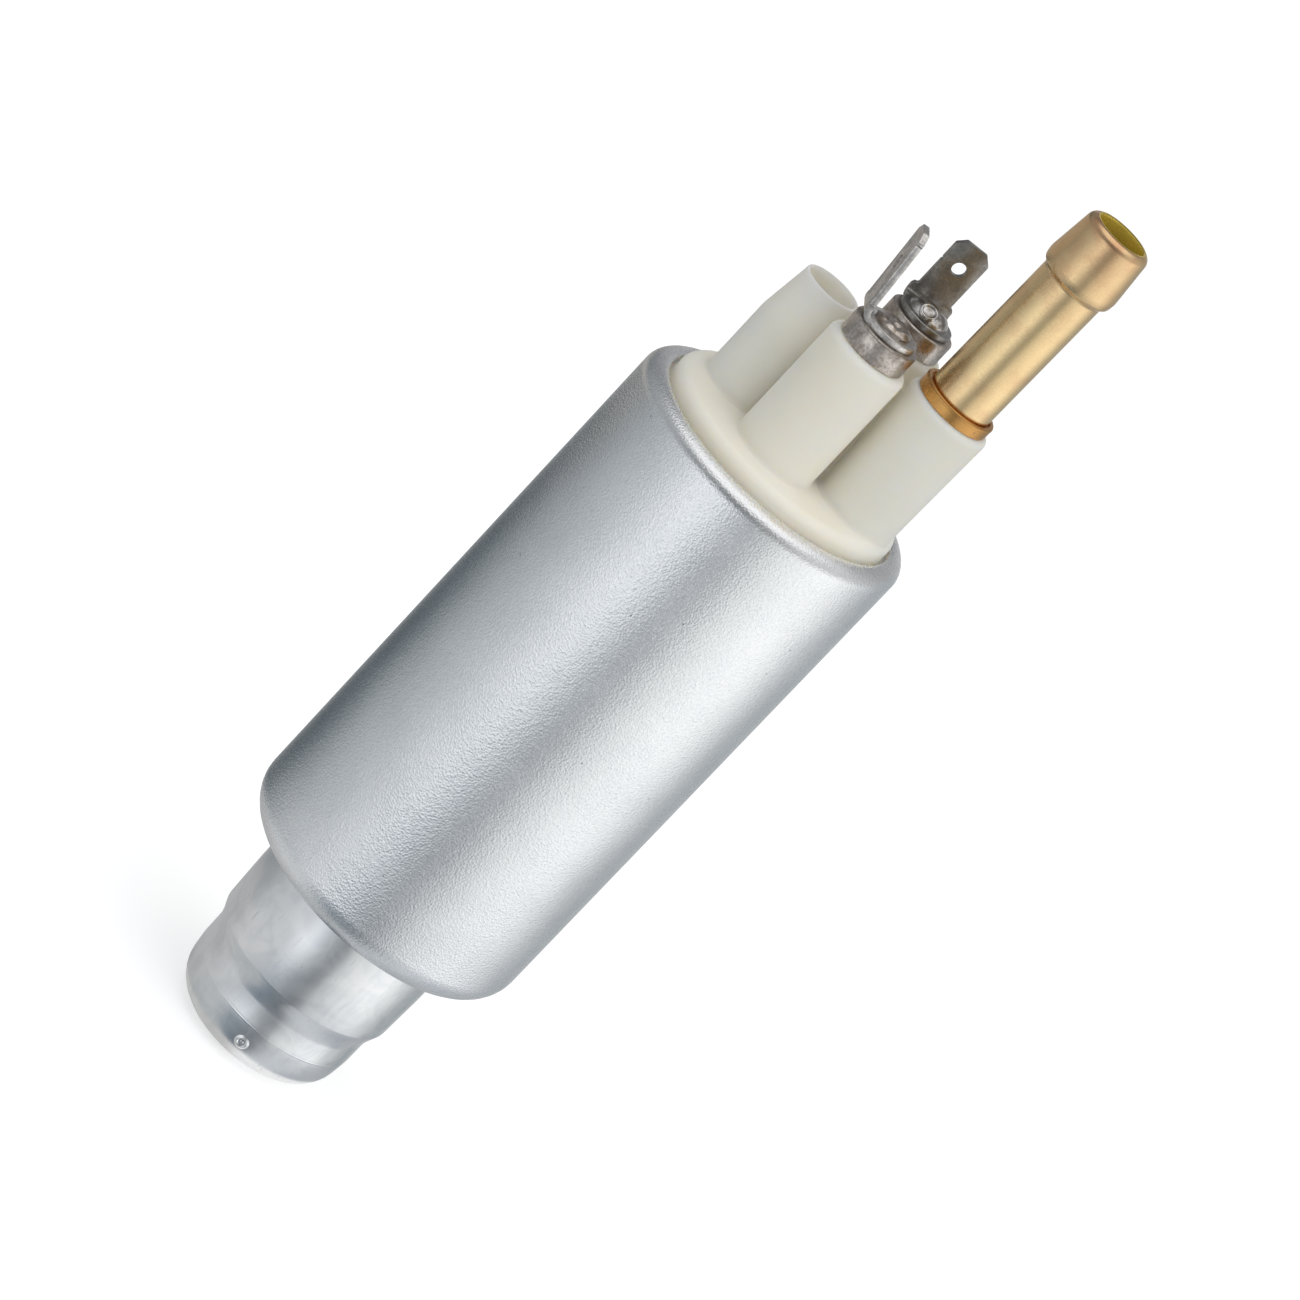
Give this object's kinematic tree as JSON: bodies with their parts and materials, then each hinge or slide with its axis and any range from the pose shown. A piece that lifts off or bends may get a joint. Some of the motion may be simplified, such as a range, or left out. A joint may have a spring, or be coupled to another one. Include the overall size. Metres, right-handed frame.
{
  "type": "electric fuel pump",
  "caption": "Cylindrical electric fuel pump: steel can with a stepped inlet cup, ivory outlet head with blade terminals, a brass hose nozzle and an open relief stub.",
  "frame": {"origin": "centre of the inlet cup's flat end, which is the bottom centre of the bounding box", "axes": "+Z along the can's axis from the inlet cup to the outlet nozzle, +X from the relief stub to the nozzle"},
  "size_m": [0.038, 0.038, 0.1441],
  "materials": {
    "can_steel": "satin",
    "cup_steel": "satin",
    "ivory_plastic": "matte",
    "nozzle_brass": "turned",
    "tinned_steel": "dull",
    "solder": "bright",
    "sintered_steel": "ground",
    "spring_steel": "drawn",
    "shaft_steel": "ground",
    "lamination_steel": "stamped",
    "copper": "enamelled",
    "dark_moulding": "matte",
    "carbon": "matte",
    "bronze": "sintered",
    "ferrite": "ground",
    "seal_rubber": "matte",
    "acetal": "matte"
  },
  "bodies": {
    "housing": {"can": "can_steel", "inlet_cup": "cup_steel", "inlet_port_plate": "sintered_steel", "cam_ring": "sintered_steel", "outlet_port_plate": "sintered_steel", "pump_dowels": "shaft_steel", "upper_bearing": "bronze", "flux_ring": "lamination_steel", "left_magnet": "ferrite", "right_magnet": "ferrite", "magnet_clips": "spring_steel", "head_seal": "seal_rubber", "head": "ivory_plastic", "outlet_barb": "nozzle_brass", "front_terminal_bush": "tinned_steel", "rear_terminal_bush": "tinned_steel", "front_terminal": "tinned_steel", "rear_terminal": "tinned_steel", "front_rivet": "tinned_steel", "rear_rivet": "solder", "front_brush_lead": "copper", "rear_brush_lead": "copper", "front_brush_spring": "spring_steel", "rear_brush_spring": "spring_steel", "check_valve_spring": "spring_steel", "relief_valve_retainer": "bronze", "relief_valve_spring": "spring_steel"},
    "armature": {"shaft": "shaft_steel", "lamination_stack": "lamination_steel", "windings": "copper", "commutator_hub": "dark_moulding", "commutator_segments": "copper", "drive_coupling": "acetal", "inner_rotor": "sintered_steel"},
    "outer_rotor": {"outer_rotor": "sintered_steel"},
    "front_brush": {"front_brush": "carbon"},
    "rear_brush": {"rear_brush": "carbon"},
    "check_valve": {"check_valve_poppet": "acetal"},
    "relief_valve": {"relief_valve_plunger": "acetal"}
  },
  "joints": [
    {"name": "armature_spin", "type": "hinge", "parent": "housing", "child": "armature", "pos_m": [0, 0, 0.0345], "axis": [0, 0, 1], "continuous": true},
    {"name": "outer_rotor_spin", "type": "hinge", "parent": "housing", "child": "outer_rotor", "pos_m": [0.00125, 0, 0.0345], "axis": [0, 0, 1], "continuous": true},
    {"name": "front_brush_slide", "type": "slide", "parent": "housing", "child": "front_brush", "axis": [0, 0, 1], "range_m": [0, 0.003], "stiffness_N_per_m": 60, "deforming": ["front_brush_spring", "front_brush_lead"]},
    {"name": "rear_brush_slide", "type": "slide", "parent": "housing", "child": "rear_brush", "axis": [0, 0, 1], "range_m": [0, 0.003], "stiffness_N_per_m": 60, "deforming": ["rear_brush_spring", "rear_brush_lead"]},
    {"name": "check_valve_lift", "type": "slide", "parent": "housing", "child": "check_valve", "axis": [0, 0, 1], "range_m": [0, 0.0015], "stiffness_N_per_m": 80, "deforming": ["check_valve_spring"]},
    {"name": "relief_valve_lift", "type": "slide", "parent": "housing", "child": "relief_valve", "axis": [0, 0, 1], "range_m": [0, 0.0015], "stiffness_N_per_m": 80, "deforming": ["relief_valve_spring"]}
  ],
  "couplings": [
    {"joint": "outer_rotor_spin", "follows": "armature_spin", "ratio": 0.85714}
  ]
}
